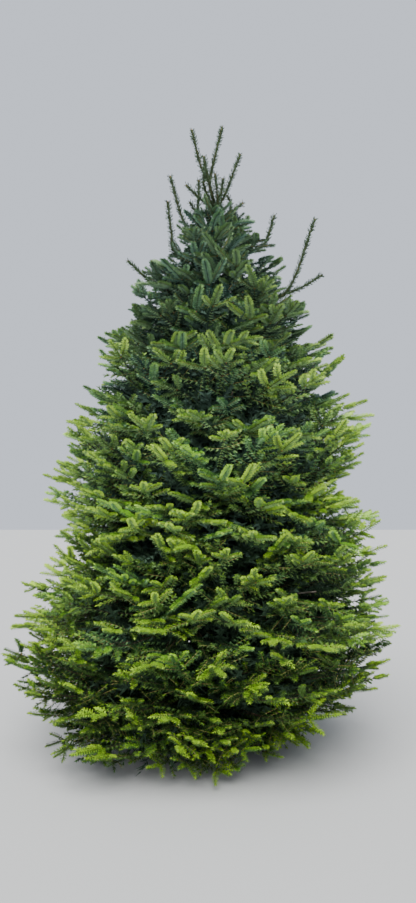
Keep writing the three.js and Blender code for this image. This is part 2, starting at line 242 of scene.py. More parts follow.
trunk_along = FORK_HEIGHT * np.linspace(0, 1, TRUNK_PLACES) ** TRUNK_CROWDING
trunk_turn = np.linspace(0, 2 * np.pi, TRUNK_SIDES, endpoint=False)
z_grid, turn_grid = np.meshgrid(trunk_along, trunk_turn, indexing="ij")
trunk_reach = trunk_radius(z_grid, turn_grid)
trunk_reach += bark_relief(z_grid, turn_grid) * np.clip(trunk_reach / TRUNK_RADIUS, 0.15, 1)
trunk_skin = trunk_centre(z_grid)
trunk_skin[..., 0] += trunk_reach * np.cos(turn_grid)
trunk_skin[..., 1] += trunk_reach * np.sin(turn_grid)
bark = bark_material("bark", BARK_DARK, BARK_MIDDLE, BARK_PALE, BARK_GRAIN)
trunk = new_piece("trunk_bark", *limb_skin(trunk_skin[None]), [bark])
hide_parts("trunk")


# The boughs and the stems that go on from them: one tapering limb for each mass, with the
# same bark, springing from the trunk and running on inside its mass.

CROWN_RADIUS = 1.215
WIDEST_HEIGHT = 0.55
CROWN_TOP = 3.54
CROWN_SHOULDER = 1.55
CROWN_POINT = 0.75
SKIRT_TUCK = 0.25
LEFT_SKIRT = 0.15
RIGHT_SWELL = 0.06
LOBES = ((3, 0.035, 1, 1 / 0.7), (5, 0.025, 0, -1 / 0.4))  # count, depth, turn and twist of each
SWELLS = (  # depth, height, spread and side of each
    (-0.17, 1.26, 0.25, np.pi),
    (0.05, 1.80, 0.16, np.pi),
    (-0.20, 0.08, 0.30, 0),
    (-0.19, 1.61, 0.17, 0),
    (0.11, 2.22, 0.30, 0),
)
GROUND_RISE = -0.1
RISE_BY_HEIGHT = 1 / 3.0
TIERS = (
    {"low": 0.09, "high": 0.6, "count": 6, "turn": 0.5},
    {"low": 0.6, "high": 1.08, "count": 6, "turn": 0.25},
    {"low": 1.08, "high": 1.56, "count": 6, "turn": 0.6},
    {"low": 1.56, "high": 2.01, "count": 5, "turn": 0.9},
    {"low": 2.01, "high": 2.43, "count": 5, "turn": 0.4},
    {"low": 2.43, "high": 2.85, "count": 4, "turn": 0.0},
    {"low": 2.85, "high": 3.34, "count": 3, "turn": 0.17},
)
LOWEST_BOUGH_RADIUS = 0.016
HIGHEST_BOUGH_RADIUS = 0.006
STEM_END = 0.7
STEM_TIP_RADIUS = 0.004
BOUGH_SIDES = 8
BOUGH_PLACES = 20
BOUGH_RELIEF = 14  # a bough's swelling by the trunk's relief, as a share of its radius to the metre


def crown_reach(z, azimuth):
    """The crown's outline: an ogive above its widest height, tucked in below it, fuller on one side low down
    and on the other at mid height, with slow lobes round it. Bell curves draw it in or out on one side."""
    up = np.clip((z - WIDEST_HEIGHT) / (CROWN_TOP - WIDEST_HEIGHT), 0, 1)
    down = np.clip((WIDEST_HEIGHT - z) / WIDEST_HEIGHT, 0, 1)
    ogive = (1 - up ** CROWN_SHOULDER) ** CROWN_POINT
    tuck = 1 - SKIRT_TUCK * down ** 1.5
    side = RIGHT_SWELL * np.sin(np.pi * np.clip(up * 1.5, 0, 1)) - LEFT_SKIRT * smooth(down)
    uneven = 1 + side * np.cos(azimuth)
    for count, depth, turn, twist in LOBES:
        uneven = uneven + depth * np.cos(count * azimuth + turn + z * twist)
    for depth, height, spread, side in SWELLS:
        uneven = uneven + depth * np.exp(-((z - height) / spread) ** 2) * (1 + np.cos(azimuth - side)) / 2
    return CROWN_RADIUS * ogive * tuck * uneven


def rise(level):
    """How steeply a bough that springs from the trunk at this level rises outwards."""
    return GROUND_RISE + RISE_BY_HEIGHT * level


def reach_at(level, azimuth):
    """Where a bough from this level meets the crown's outline, by halving the span that holds it."""
    low = np.zeros_like(level + azimuth)
    high = low + CROWN_RADIUS * 1.4
    for _ in range(18):
        middle = (low + high) / 2
        inside = middle < crown_reach(level + rise(level) * middle, azimuth)
        low = np.where(inside, middle, low)
        high = np.where(inside, high, middle)
    return low


def crown_place(level, azimuth, out):
    """A place on the way out from the trunk at a level and azimuth, at a share of the reach there."""
    radius = out * reach_at(level, azimuth)
    z = level + rise(level) * radius
    centre = trunk_centre(z)
    return centre + np.stack([radius * np.cos(azimuth), radius * np.sin(azimuth), 0 * z], -1)


def cell_place(cell, across, height, out):
    """A place in a mass's space: across and height run from -1 to 1, out from 0 to 1."""
    level = cell["low"] + (cell["high"] - cell["low"]) * (height + 1) / 2
    return crown_place(level, cell["azimuth"] + across * cell["half_angle"], out)


def frames(paths):
    """The forward, side and upper directions along paths: side is level wherever the path isn't upright."""
    forward = np.gradient(paths, axis=-2)
    forward /= np.linalg.norm(forward, axis=-1, keepdims=True)
    side = np.stack([-forward[..., 1], forward[..., 0], 0 * forward[..., 0]], -1)
    side += 1e-4 * np.array([0.3, 1, 0])
    side /= np.linalg.norm(side, axis=-1, keepdims=True)
    return forward, side, np.cross(forward, side)


def limb_rings(paths, radii, sides):
    """The outlines of round limbs: circles of the given radii across the paths."""
    _, side, up = frames(paths)
    turn = np.linspace(0, 2 * np.pi, sides, endpoint=False)
    across = np.cos(turn)[:, None] * side[..., None, :] + np.sin(turn)[:, None] * up[..., None, :]
    return paths[..., None, :] + radii[..., None, None] * across


cells = []
for tier, sizes in enumerate(TIERS):
    for number in range(sizes["count"]):
        share = tier / (len(TIERS) - 1)
        cells.append({
            **sizes,
            "tier": tier + 1,
            "number": number + 1,
            "azimuth": (number + sizes["turn"]) / sizes["count"] * 2 * np.pi,
            "half_angle": np.pi / sizes["count"],
            "bough_radius": LOWEST_BOUGH_RADIUS + (HIGHEST_BOUGH_RADIUS - LOWEST_BOUGH_RADIUS) * share,
        })

bough_out = np.linspace(0, STEM_END, BOUGH_PLACES)
bough_paths = np.stack([cell_place(cell, 0.0, 0.0, bough_out) for cell in cells])
bough_root = np.array([cell["bough_radius"] for cell in cells])[:, None]
bough_radii = bough_root + (STEM_TIP_RADIUS - bough_root) * (bough_out / STEM_END)[None]
bough_rings = limb_rings(bough_paths, bough_radii, BOUGH_SIDES)
bough_middle = bough_rings.mean(2, keepdims=True)
bough_turn = np.linspace(0, 2 * np.pi, BOUGH_SIDES, endpoint=False)
bough_relief = bark_relief(bough_out[:, None] * 2, bough_turn[None]) * BOUGH_RELIEF
bough_rings = bough_middle + (bough_rings - bough_middle) * (1 + bough_relief[None, ..., None])
boughs = new_piece("boughs", *limb_skin(bough_rings), [bark])
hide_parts(*[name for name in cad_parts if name.startswith("bough")])


# The twigs: from each stem, long twigs bend out to the crown's outline. Each ends in a flat fan, as
# firs branch: last year's growth and the growth before it, with a pair of side shoots at each joint.
# Rows of values run from the lowest tier to the highest.

FAN_ROWS = (5, 5, 5, 4, 4, 4, 3)
FAN_COLUMNS = (7, 6, 6, 5, 4, 4, 3)
FAN_SIZES = (0.82, 0.88, 0.95, 1.02, 1.08, 1.14, 1.12)
FAN_ROLLS = (1.5, 1.5, 1.3, 1.2, 1.1, 1.1, 1.1)
LAST_GROWTH = 0.145
GROWTH_BEFORE = 0.13
HALFWAY_ODDS = (0.25, 0.3, 0.35, 0.4, 0.45, 0.5, 0.5)
THIRD_YEAR_ODDS = (0.9, 0.9, 0.8, 0.6, 0.4, 0.2, 0.0)
TWIG_STARTS = (0.46, 0.46, 0.46, 0.42, 0.36, 0.22, 0.1)
TWIG_ENDS = (0.98, 0.98, 0.98, 1.0, 1.04, 1.08, 1.18)
TWIG_SPREADS = (0.97, 0.97, 0.94, 0.92, 0.9, 0.88, 0.84)
TWIG_SWEEPS = (0.23, 0.23, 0.26, 0.28, 0.3, 0.36, 0.36)
TIP_LIFTS = (0.02, 0.0, -0.05, -0.09, -0.14, -0.18, -0.19)
END_JITTERS = (0.11, 0.12, 0.15, 0.20, 0.25, 0.30, 0.32)
LIFT_JITTER = 0.17
PLACE_JITTER = 0.5
LEVEL_JITTER = 0.9
LEVEL_SPREAD = 1.12
ROW_STAGGER = 0.2
AXIS_PLACES = 11
TWIG_DIP = 0.12
TWIG_OPENING = 0.38
EARLY_START = 0.3  # how much sooner the twigs at a mass's sides leave the stem
LOW_TRIM = 0.05
LEFT_TUCK = 0.24
LEFT_RAISE = 0.12
SHOOT_LOWEST = 0.035
OUTER_LOWEST = 0.045
MIDDLE_ROWS = (4, 4, 4, 3, 2, 3)
MIDDLE_COLUMNS = (7, 5, 4, 3, 3, 4)
MIDDLE_START = 0.8  # a share of the outer twigs' start
MIDDLE_END = 0.84
MIDDLE_LOWEST = 0.07
MIDDLE_SIZE = 0.95
OUTER_SEED = 0
MIDDLE_SEED = 20
LONG_TWIG_RADII = (0.0046, 0.0014)  # at the root and at the end
SIDE_TWIG_RADII = (0.0018, 0.0009)


def chance(*keys):
    """Seeded chance from -0.5 to 0.5 for a piece's own numbers: the broken part of a long sine."""
    total = 4.1
    for i, key in enumerate(keys):
        total = total + (key + 1.37) * (12.9898 + 21.7113 * i)
    wave = np.sin(total) * 43758.5453
    return wave - np.floor(wave) - 0.5


def grow_axes(cell, rows, columns, start, end, lowest, seed):
    """The long twigs of one mass, by the source's rule on a finer grid, and their facts: tier, share of the
    reach at the end, number, and height in the mass.

    A twig leaves the stem at a share of the reach, opens out towards its place in the grid as a power of the
    way along, dips by half a sine, and ends near the outline. It sweeps to one side by its place and by
    chance, and lifts or droops, both by a power of the way, so mostly near the end. In the two lowest
    tiers the twigs end sooner at the sides, and soonest at the foot of the left side. All of them keep
    above the floor, higher on the left."""
    tier = cell["tier"]
    row, column = np.meshgrid(np.arange(rows), np.arange(columns), indexing="ij")
    row, column = row.ravel().astype(float), column.ravel().astype(float)
    keys = (tier + seed, cell["number"], row, column)
    stagger = np.where(row % 2 == 0, ROW_STAGGER, -ROW_STAGGER)
    across = (column + 0.5 + PLACE_JITTER * chance(*keys, 1) + stagger) / columns * 2 - 1
    height = (row + 0.5 + LEVEL_JITTER * chance(*keys, 2)) / rows * 2 - 1
    height = height * np.where((tier > 1) | (height > 0), LEVEL_SPREAD, 1)
    share = np.linspace(0, 1, AXIS_PLACES)[None]
    opened = share ** TWIG_OPENING
    dip = TWIG_DIP * np.sin(np.pi * share)

    rightward = np.cos(cell["azimuth"] + across * cell["half_angle"])
    trim = LOW_TRIM * (0.65 * np.abs(rightward) + 0.35 * rightward) * (tier < 3)
    trim = trim + LEFT_TUCK * smooth(-2 * rightward - 1) * np.clip(0.3 - height, 0, 1) * (tier == 1)
    trim = trim * (1 if seed == OUTER_SEED else 0.5)
    start = (start * (1 - EARLY_START * np.abs(across)))[:, None]
    end = (end - trim + END_JITTERS[tier - 1] * chance(*keys, 3))[:, None]
    out = start + (end - start) * share

    reach = reach_at(np.array((cell["low"] + cell["high"]) / 2), np.array(cell["azimuth"]))
    sweep = TWIG_SWEEPS[tier - 1] * (0.35 * across + 1.7 * chance(*keys, 4))[:, None]
    sweep = sweep * (share ** 1.9 - 0.2 * share) / np.maximum(reach, 0.45) / cell["half_angle"]
    spread = across[:, None] * TWIG_SPREADS[tier - 1] * opened
    path = cell_place(cell, spread + sweep, height[:, None] * opened - dip, out)
    room = np.clip(np.linalg.norm(path[:, -1, :2], axis=1) / 0.9, 0.55, 1)[:, None]
    lift = TIP_LIFTS[tier - 1] * (0.75 + room) / 1.75 + LIFT_JITTER * chance(*keys, 6)[:, None]
    path[..., 2] += lift * (share ** 2.2 - 0.25 * share)
    floor_gap = lowest + 0.03 * share + 0.03 * chance(*keys, 15)[:, None]
    floor_gap = floor_gap + LEFT_RAISE * np.clip(-path[..., 0], 0, 1) ** 3
    path[..., 2] = np.maximum(path[..., 2], floor_gap)

    number = tier * 1000 + cell["number"] * 100 + row * 11 + column + seed
    facts = np.stack([np.full(len(number), tier), end[:, 0], number, height], 1)
    return path, facts


def along(values, share):
    """Values at a share of each path's way, by straight lines between its places."""
    at = np.clip(share, 0, 1) * (values.shape[1] - 1)
    low = np.minimum(at.astype(int), values.shape[1] - 2)
    rest = (at - low)[..., None]
    row = np.arange(len(values)).reshape(-1, *([1] * (share.ndim - 1)))
    return values[row, low] * (1 - rest) + values[row, low + 1] * rest


class Fans:
    """The shoots that grow on a set of long twigs. Each shoot is a path of three places, with its kind and
    the long twig that carries it."""

    def __init__(self, axis_sets):
        self.axes = np.concatenate([path for path, _ in axis_sets])
        self.facts = np.concatenate([fact for _, fact in axis_sets])
        self.number = self.facts[:, 2]
        self.length = np.linalg.norm(np.diff(self.axes, axis=1), axis=2).sum(1)
        self.frames = frames(self.axes)
        self.roll = np.array(FAN_ROLLS)[self.facts[:, 0].astype(int) - 1] * chance(self.number, 7)
        self.paths, self.kinds, self.owners = [], [], []

    def keep(self, paths, kind, chosen):
        """Adds the chosen paths as shoots of one kind. Each path belongs to the long twig of its own row."""
        self.paths.append(paths[chosen])
        self.kinds.append(np.full(chosen.sum(), kind))
        self.owners.append(np.flatnonzero(chosen))

    def on_axis(self, first, last, kind):
        """A stretch of the long twig itself, from one share of its way to another."""
        share = first[:, None] + (last - first)[:, None] * np.array([0, 0.5, 1])
        self.keep(along(self.axes, share), kind, np.full(len(self.axes), True))

    def beside(self, share, hand, angle, length, bow, kind, key, odds=1.0):
        """Side shoots: they leave the long twig in its fan's tilted plane at an angle, curve forward, and
        bow up and over."""
        forward, side, up = (along(each, share) for each in self.frames)
        roll = self.roll[:, None]
        aside = hand * (np.cos(roll) * side + np.sin(roll) * up)
        turn = (angle * (1 + 0.45 * chance(self.number, key, 9)))[:, None]
        aim = np.cos(turn) * forward + np.sin(turn) * aside
        aim += (0.02 + 0.34 * chance(self.number, key, 14))[:, None] * up
        reach = (length * (1 + 0.6 * chance(self.number, key, 10)))[:, None]
        root = along(self.axes, share)
        middle = root + reach * (0.5 * aim - 0.04 * forward + bow * up)
        tip = root + reach * (0.97 * aim + 0.1 * forward)
        middle[:, 2] = np.maximum(middle[:, 2], SHOOT_LOWEST)
        tip[:, 2] = np.maximum(tip[:, 2], SHOOT_LOWEST)
        chosen = chance(self.number, key, 11) + 0.5 < odds
        self.keep(np.stack([root, middle, tip], 1), kind, chosen)

    def gather(self):
        """Joins what was kept into one array of each sort, and finds every shoot's tier."""
        self.paths = np.concatenate(self.paths)
        self.kinds = np.concatenate(self.kinds)
        self.owners = np.concatenate(self.owners)
        self.tiers = self.facts[self.owners, 0].astype(int)

    def pick(self, tier, *kinds):
        """The numbers of one tier's shoots of some kinds."""
        return np.flatnonzero(np.isin(self.kinds, kinds) & (self.tiers == tier))


OLD, TERMINAL, SIDE, SMALL, BACK, OLDEST, DEEP = range(7)


def full_fans(axis_sets, size):
    """Fans of two years' growth: the stretches at the long twig's end, pairs of side shoots at both joints
    and on some fans between them, small ones on the last growth, and on some fans a pair of the third year.
    The rest of the long twig is the oldest."""
    fans = Fans(axis_sets)
    whole = np.ones(len(fans.axes))
    tier = fans.facts[:, 0].astype(int) - 1
    size = size * np.array(FAN_SIZES)[tier] * (1 + 0.5 * chance(fans.number, 23))
    halfway_odds = np.array(HALFWAY_ODDS)[tier]
    third_year_odds = np.array(THIRD_YEAR_ODDS)[tier]
    last = size * LAST_GROWTH * (1 + 0.5 * chance(fans.number, 21))
    before = size * GROWTH_BEFORE * (1 + 0.3 * chance(fans.number, 22))
    joint = np.maximum(1 - last / fans.length, 0.5)
    older = np.maximum(joint - before / fans.length, 0.2)
    oldest = np.maximum(older - before / fans.length, 0.1)
    halfway = joint * 0.5 + older * 0.5
    fans.on_axis(whole * 0.02, older * 0.5, OLDEST)
    fans.on_axis(older * 0.5, older, OLDEST)
    fans.on_axis(older, joint, OLD)
    fans.on_axis(joint, whole, TERMINAL)
    for hand in (-1, 1):
        fans.beside(joint, hand, whole * 0.95, size * 0.102, 0.03, SIDE, 30 + hand)
        fans.beside(joint * 0.55 + 0.45, hand, whole * 0.85, size * 0.06, 0.02, SMALL, 33 + hand, 0.2)
        fans.beside(halfway, hand, whole * 1.0, size * 0.090, 0.03, SIDE, 36 + hand, halfway_odds)
        fans.beside(older, hand, whole * 1.05, size * 0.14, 0.03, BACK, 39 + hand)
        fans.beside(oldest, hand, whole * 1.1, size * 0.16, 0.02, DEEP, 42 + hand, third_year_odds)
    fans.gather()
    return fans


outer_axes = []
middle_axes = []
for cell in cells:
    at = cell["tier"] - 1
    start = TWIG_STARTS[at]
    outer_axes.append(grow_axes(cell, FAN_ROWS[at], FAN_COLUMNS[at], start, TWIG_ENDS[at],
                                OUTER_LOWEST, OUTER_SEED))
    if at < len(MIDDLE_ROWS):
        middle_axes.append(grow_axes(cell, MIDDLE_ROWS[at], MIDDLE_COLUMNS[at], start * MIDDLE_START,
                                     MIDDLE_END, MIDDLE_LOWEST, MIDDLE_SEED))
outer = full_fans(outer_axes, 1.0)
middle = full_fans(middle_axes, MIDDLE_SIZE)

# Near-black browns for the long and inner twigs: partly the bark's own brown, partly painted shade, so that
# bare twigs sink into the dark of the crown.
twig_brown_painted_shade = bark_material("twig_brown_painted_shade", (0.020, 0.018, 0.010), (0.050, 0.040, 0.022),
                           (0.130, 0.090, 0.048), 60)
twig_tan = bark_material("twig_tan", (0.2, 0.15, 0.05), (0.36, 0.28, 0.09), (0.5, 0.42, 0.16), 80)
for name, fans in (("outer", outer), ("middle", middle)):
    bare = fans.axes[:, ::2]
    axis_radii = np.linspace(*LONG_TWIG_RADII, bare.shape[1])[None].repeat(len(bare), 0)
    long_twigs = new_piece(f"twigs_{name}", *limb_skin(limb_rings(bare, axis_radii, 4)), [twig_brown_painted_shade])
    beside = np.isin(fans.kinds, (SIDE, SMALL, BACK))
    side_paths = fans.paths[beside] if name == "outer" else fans.paths[beside][:, ::2]
    side_radii = np.linspace(*SIDE_TWIG_RADII, side_paths.shape[1])[None].repeat(beside.sum(), 0)
    side_rings = limb_rings(side_paths, side_radii, 3)
    side_twigs = new_piece(f"side_twigs_{name}", *limb_skin(side_rings), [twig_tan])


# The needles: flat and blunt, combed round each shoot from its back to its belly and swept towards its
# tip. They are plain greens dealt out by shoot: darker and bluer inside (partly older needles, partly
# painted shade) and at the top, yellow-green on the last growth low down. Some of the dealing is painted
# light and shade: shoots that reach further out are lighter and recessed ones darker, each mass is
# darker towards its top and lighter towards its foot, the flanks of the lower shoots carry a painted
# highlight, and the belly's grey-green is partly the needles' own underside and partly painted shade.
# Rows of values run up the tiers.

NEEDLE_LENGTHS = (0.0210, 0.0230, 0.0250, 0.0265, 0.027, 0.027, 0.026)
NEEDLE_LEANS = (72, 69, 64, 62, 60, 60, 60)
TIP_GATHERS = (12, 16, 24, 26, 26, 26, 26)
FULL_GATHER = 26
BACK_PRESS = 30
POINTED_FROM = (84, 88, 98, 102, 105, 105, 105)
POINTED_END = 0.86
NEEDLE_RANKS = (7, 7, 8, 9, 9, 9, 9)
NEEDLE_CHANCES = (1.5, 1.5, 1.4, 1.3, 1.1, 0.9, 0.9)
NEEDLE_TWISTS = (0.9, 0.9, 0.85, 0.8, 0.7, 0.65, 0.65)
# a painted highlight on a shoot's flanks, in shade steps, by tier
NEEDLE_RIM_HIGHLIGHTS = (0.25, 0.25, 0.2, 0.1, 0, 0, 0)
TIP_DENSITIES = (1120, 1120, 1180, 1280, 1450, 1550, 1550)  # needles to the metre
TIP_WIDTHS = (0.0064, 0.0064, 0.0062, 0.0060, 0.0056, 0.0054, 0.0054)
BACK_DENSITIES = (580, 580, 580, 580, 950, 950, 950)
BACK_WIDTHS = (0.0074, 0.0074, 0.0074, 0.0074, 0.0064, 0.0064, 0.0064)
OLD_DENSITIES = (350, 350, 350, 520, 520, 520, 520)
OLD_WIDTH = 0.0064
MIDDLE_DENSITIES = (380, 380, 380, 850, 850, 850)
MIDDLE_WIDTHS = (0.0070, 0.0070, 0.0070, 0.0060, 0.0060, 0.0060)
COMBED_FROM = 4  # the tier from which old and middle shoots are combed as the tips are
LOOSE_RANKS = 5
LOOSE_POINTED = 60
WINDING = 0.618034
GROUND_CLEARANCE = 0.004


def bezier(paths, share):
    """Points and directions on the smooth curve through each path's three places."""
    first, middle, last = paths[:, 0], 2 * paths[:, 1] - (paths[:, 0] + paths[:, 2]) / 2, paths[:, 2]
    s = share[:, None]
    place = (1 - s) ** 2 * first + 2 * s * (1 - s) * middle + s * s * last
    forward = 2 * (1 - s) * (middle - first) + 2 * s * (last - middle)
    return place, forward / np.linalg.norm(forward, axis=1, keepdims=True)


def comb(paths, density, length, width, lean, seed, ranks, gather=FULL_GATHER, pointed=0, pressed=BACK_PRESS,
         twisting=0.9, blunt=False):
    """Needles of a set of shoots, with each one's shoot, share of the way along and turn from the back.

    They stand at even steps on either hand. Their turn goes round from back to belly in ranks, or by the
    golden share where there are no ranks. They lean from the shoot by an angle in degrees, which is less on
    the back by the pressing and towards the tip by the gathering, with chance that grows there. They are
    shorter at both ends and on small shoots. Their broad side faces up and out, twisted by chance. A needle
    is one triangle, widest at its end on the back as far as the pointed turn, and widest at its root past
    that and at the shoot's tip. A blunt needle has four corners and is widest at its end."""
    size = np.linalg.norm(paths[:, 2] - paths[:, 0], axis=1)
    count = np.maximum((size * density).astype(int), 10)
    owner = np.repeat(np.arange(len(paths)), count)
    order = np.arange(len(owner)) - (np.cumsum(count) - count)[owner]
    share = np.clip((order + 0.5 + 0.5 * chance(order, owner % 883, seed + 4)) / count[owner], 0.002, 0.998)
    root, forward = bezier(paths[owner], share)
    side = np.stack([-forward[:, 1], forward[:, 0], 0 * share], 1) + 1e-4 * np.array([0.3, 1, 0])
    side /= np.linalg.norm(side, axis=1, keepdims=True)
    up = np.cross(forward, side)

    steep = np.abs(forward[:, 2]) ** 4
    if ranks:
        winding = (order // 2 % ranks + 0.5 + 0.7 * chance(order, owner % 911, seed + 2)) / ranks
    else:
        winding = (order // 2 * WINDING + 0.37 * owner) % 1
    turn = np.radians(4 * (1 - steep) + (156 + 24 * steep) * winding)
    hand = np.where(order % 2 == 0, 1.0, -1.0)
    radial = np.cos(turn)[:, None] * up + (hand * np.sin(turn))[:, None] * side
    angle = lean - pressed * np.clip(np.cos(turn), 0, 1) ** 2
    angle = angle - gather * share ** 3 - 1.5 * (FULL_GATHER - gather) * share ** 10
    angle = np.radians(angle + (14 + 34 * share ** 6) * chance(order, owner % 977, seed))
    aim = np.cos(angle)[:, None] * forward + np.sin(angle)[:, None] * radial

    ends = np.clip(share / 0.12, 0.4, 1) * np.clip((1.04 - share) / 0.1, 1.15 - 0.02 * gather, 1)
    vigour = 1 if blunt else np.interp(size, (0.05, 0.17), (0.86, 1.12))[owner]
    grown = length * vigour * ends * (0.85 + 0.15 * np.sin(turn) ** 2)
    grown = grown * (1 + 0.16 * chance(order, owner % 797, seed + 3))
    outward = 0.45 * up + 0.8 * radial
    flat = outward - (outward * aim).sum(1, keepdims=True) * aim
    flat /= np.linalg.norm(flat, axis=1, keepdims=True)
    twist = twisting * chance(order, owner % 613, seed + 1)[:, None]
    broad = np.sin(twist) * flat + np.cos(twist) * np.cross(aim, flat)
    tip = root + aim * grown[:, None]
    half = broad * width / 2
    if blunt:
        corners = np.stack([root + half * 0.5, root - half * 0.5, tip - half, tip + half], 1)
    else:
        widening = np.stack([root, tip - half, tip + half], 1)
        narrowing = np.stack([root + half * 1.2, root - half * 1.2, tip], 1)
        broad_ended = (turn < np.radians(pointed)) & (share < POINTED_END)
        corners = np.where(broad_ended[:, None, None], widening, narrowing)
    corners[..., 2] = np.maximum(corners[..., 2], GROUND_CLEARANCE)
    return corners, owner, share, turn


# Five shades from dark to light, and the underside's: a bluer mid green, partly the needles' own underside
# and partly painted shade on a shoot's belly.
LOW_GREENS = ((0.011, 0.032, 0.008), (0.026, 0.064, 0.010), (0.070, 0.150, 0.016), (0.174, 0.326, 0.022),
              (0.375, 0.600, 0.030), (0.078, 0.156, 0.032))
MIDDLE_GREENS = ((0.036, 0.075, 0.044), (0.084, 0.168, 0.062), (0.181, 0.325, 0.076), (0.334, 0.535, 0.084),
                 (0.524, 0.750, 0.100), (0.208, 0.345, 0.116))
HIGH_GREENS = ((0.014, 0.034, 0.024), (0.030, 0.066, 0.040), (0.055, 0.112, 0.060), (0.095, 0.176, 0.080),
               (0.165, 0.280, 0.104), (0.112, 0.192, 0.112))
# the belly's green: partly the needles' own underside, partly painted shade
UNDERSIDE_AND_BELLY_SHADE = 5
UNDERSIDE_AND_BELLY_SHADE_FROM = 120  # degrees from the shoot's back
BLUER = (0.84, 0.95, 1.22)
BLUER_ODDS = (0.12, 0.2, 0.35, 0.35, 0.35, 0.35, 0.35)
# lighter for the young growth, darker for the older stretches and deep shoots inside: partly the needles'
# age, partly painted shade
KIND_GLOWS = (0.5, 3.4, 3.2, 3.4, 1.6, 0.1, 0.7)  # by the kinds' own numbers
GLOW_BY_TIER = (0.1, 0.7, 0.5, -0.25, -0.25, -0.1, -0.1)
# painted shade: darker towards each mass's top, where the light from above falls, and painted light towards
# its foot
PAINTED_SHADE_TO_TOP = (0.5, 0.6, 0.75, 1.3, 0.9, 0.5, 0.3)  # from the middle of a mass to its top
# painted light and shade: shade steps per unit of reach, lighter for twigs that reach further out, darker
# for recessed ones
PAINTED_LIGHT_BY_END = 11.5
GLOW_ALONG = 2.0
GLOW_BASE = -0.95
# the middle layer sits darker than the outer tips: partly older needles, partly painted shade
MIDDLE_GLOW = 1.55
TWIG_GLOW_CHANCE = 2.0
SHOOT_GLOW_CHANCE = 1.2
MIDDLE_GLOW_CHANCE = 1.4

greens = {}
for tier in range(1, len(TIERS) + 1):
    up = np.interp(tier, (1, 3.4, 6), (0, 1, 2))
    colours = np.array(MIDDLE_GREENS) * (1 - abs(up - 1))
    colours += np.array(LOW_GREENS) * max(1 - up, 0) + np.array(HIGH_GREENS) * max(up - 1, 0)
    colours = np.concatenate([colours, colours * BLUER])
    greens[tier] = [new_material(f"needles_{tier}_{shade}", tuple(colour), 0.5, 0.2 + 0.1 * up)[0]
                    for shade, colour in enumerate(colours)]


def leaf_out(name, fans, picked, tier, density, width, glow, combed=True):
    """Needles for the picked shoots, as one piece in the tier's greens. A needle's shade is its shoot's
    glow, lighter towards the shoot's tip, lighter at its flanks by a painted highlight, and changed by the
    needle's own chance. Those on the belly take the underside's green, partly their own underside and
    partly painted shade, and some long twigs are bluer throughout. Needles that aren't combed are longer
    and stand in fewer ranks."""
    at = tier - 1
    length = NEEDLE_LENGTHS[at] * (1 if combed else 1.1)
    ranks = NEEDLE_RANKS[at] if combed else LOOSE_RANKS
    pointed = POINTED_FROM[at] if combed else LOOSE_POINTED
    twisting = NEEDLE_TWISTS[at] * (1 if combed else 0.6)
    corners, owner, share, turn = comb(fans.paths[picked], density, length, width, NEEDLE_LEANS[at], tier,
                                       ranks, TIP_GATHERS[at], pointed, twisting=twisting)
    faces = np.arange(corners.shape[0] * corners.shape[1]).reshape(len(corners), -1)
    own = NEEDLE_CHANCES[at] * (1 if combed else 0.5) * chance(np.arange(len(owner)), tier, 17)
    # painted highlight: flank needles lighter, as if rim-lit
    painted_rim_light = NEEDLE_RIM_HIGHLIGHTS[at] * np.sin(turn) ** 2
    tints = np.floor(glow[picked][owner] + GLOW_ALONG * share ** 1.5 + own + painted_rim_light + GLOW_BASE)
    tints = np.clip(tints, 0, UNDERSIDE_AND_BELLY_SHADE - 1).astype(int)
    # belly needles: partly their own underside, partly painted shade
    tints = np.where(turn > np.radians(UNDERSIDE_AND_BELLY_SHADE_FROM), UNDERSIDE_AND_BELLY_SHADE, tints)
    bluer = chance(fans.number[fans.owners[picked]], 19) + 0.5 < BLUER_ODDS[at]
    tints = tints + len(LOW_GREENS) * bluer[owner]
    piece = new_piece(name, corners.reshape(-1, 3), faces, greens[tier], tints, rounded=False)
    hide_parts(*[f"foliage_{tier}_{number + 1}" for number in range(TIERS[at]["count"])])


outer_at = outer.tiers - 1
outer_glow = np.array(KIND_GLOWS)[outer.kinds] + np.array(GLOW_BY_TIER)[outer_at]
outer_glow = outer_glow + TWIG_GLOW_CHANCE * chance(outer.number[outer.owners], 12)
outer_glow = outer_glow + SHOOT_GLOW_CHANCE * chance(np.arange(len(outer.paths)), 13)
# painted light and shade: twigs reaching past their tier's usual end are lighter, recessed ones darker
outer_glow = outer_glow + (outer.facts[outer.owners, 1] - np.array(TWIG_ENDS)[outer_at]) * PAINTED_LIGHT_BY_END
# painted shade towards each mass's top, and painted light towards its foot
outer_glow = outer_glow - np.array(PAINTED_SHADE_TO_TOP)[outer_at] * outer.facts[outer.owners, 3]
middle_glow = MIDDLE_GLOW + MIDDLE_GLOW_CHANCE * chance(middle.number[middle.owners], 12)
for tier in range(1, len(TIERS) + 1):
    at = tier - 1
    combed = tier >= COMBED_FROM
    tips = outer.pick(tier, TERMINAL, SIDE, SMALL)
    back = outer.pick(tier, OLD, BACK)
    old = outer.pick(tier, OLDEST, DEEP)
    leaf_out(f"needles_tips_{tier}", outer, tips, tier, TIP_DENSITIES[at], TIP_WIDTHS[at], outer_glow)
    leaf_out(f"needles_back_{tier}", outer, back, tier, BACK_DENSITIES[at], BACK_WIDTHS[at], outer_glow)
    leaf_out(f"needles_old_{tier}", outer, old, tier, OLD_DENSITIES[at], OLD_WIDTH, outer_glow, combed)
    if at < len(MIDDLE_DENSITIES):
        inside = middle.pick(tier, OLD, TERMINAL, SIDE, SMALL, BACK)
        leaf_out(f"needles_middle_{tier}", middle, inside, tier, MIDDLE_DENSITIES[at], MIDDLE_WIDTHS[at],
                 middle_glow, combed)


